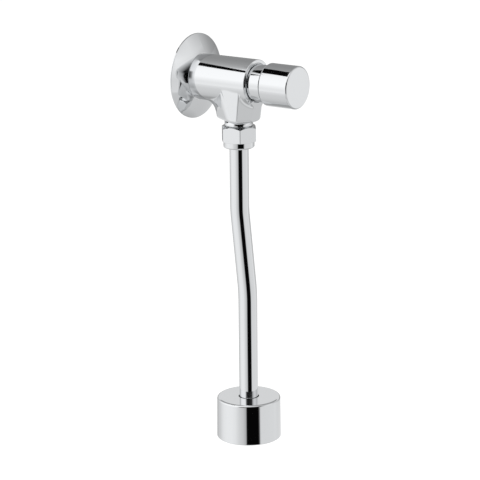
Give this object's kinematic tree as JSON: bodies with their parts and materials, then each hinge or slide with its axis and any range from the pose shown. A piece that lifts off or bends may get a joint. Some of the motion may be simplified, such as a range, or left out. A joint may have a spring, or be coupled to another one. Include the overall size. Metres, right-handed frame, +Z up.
{
  "type": "urinal flush valve",
  "caption": "Wall-mounted push-button urinal flush valve: metering body with rosette, offset flush pipe on a union nut, and a sliding cup that covers the spud.",
  "frame": {"origin": "on the inlet axis at the wall face, where the rosette's rim rests", "axes": "+Y along the inlet axis into the wall, so the push button points along -Y; +Z up, with the flush pipe hanging along -Z; +X along the wall"},
  "size_m": [0.0672, 0.1133, 0.3252],
  "materials": {
    "chrome_plate": "polished chromium plate on brass",
    "brass": "turned, bare",
    "stainless_steel": "drawn, bright",
    "white_acetal": "moulded, slightly waxy",
    "black_rubber": "moulded nitrile rubber, matt"
  },
  "bodies": {
    "valve_assembly": {"valve_body": "chrome_plate", "strainer": "stainless_steel", "strainer_ring": "stainless_steel", "seat_ring": "brass", "cartridge_cage": "white_acetal", "cage_ring": "black_rubber", "bonnet": "chrome_plate", "bonnet_ring": "black_rubber", "rod_seal": "black_rubber", "rod_guide_bush": "white_acetal", "return_spring": "stainless_steel"},
    "push_button": {"button_cap": "chrome_plate", "cap_insert": "white_acetal", "push_rod": "stainless_steel", "piston": "white_acetal", "lip_seal": "black_rubber", "piston_clip": "stainless_steel", "disc_holder": "brass", "seat_washer": "black_rubber", "disc_nut": "brass"},
    "rosette": {"wall_rosette": "chrome_plate"},
    "flush_pipe": {"flush_tube": "chrome_plate", "spud_seal": "black_rubber"},
    "union_seal": {"cone_seal": "black_rubber", "slip_ring": "brass"},
    "nut": {"union_nut": "chrome_plate"},
    "spud_cover": {"cup_cover": "chrome_plate", "cup_grip_ring": "black_rubber"}
  },
  "joints": [
    {"name": "button_push", "type": "slide", "parent": "valve_assembly", "child": "push_button", "axis": [0, 1, 0], "range_m": [0, 0.009], "stiffness_N_per_m": 1200, "springref_m": -0.008, "deforming": ["return_spring"]},
    {"name": "rosette_turn", "type": "hinge", "parent": "valve_assembly", "child": "rosette", "pos_m": [0, 0, 0], "axis": [0, 1, 0], "continuous": true},
    {"name": "pipe_swivel", "type": "hinge", "parent": "valve_assembly", "child": "flush_pipe", "pos_m": [0, -0.04135, -0.046], "axis": [0, 0, 1], "continuous": true},
    {"name": "nut_drop", "type": "slide", "parent": "valve_assembly", "child": "union_seal", "axis": [0, 0, -1], "range_m": [0, 0.0091]},
    {"name": "nut_turn", "type": "hinge", "parent": "union_seal", "child": "nut", "pos_m": [0, -0.04135, -0.049], "axis": [0, 0, -1], "range_deg": [0, 1800]},
    {"name": "cup_slide", "type": "slide", "parent": "flush_pipe", "child": "spud_cover", "axis": [0, 0, 1], "range_m": [0, 0.065]}
  ],
  "couplings": [
    {"joint": "nut_drop", "follows": "nut_turn", "m_per_rad": 0.00028871}
  ]
}
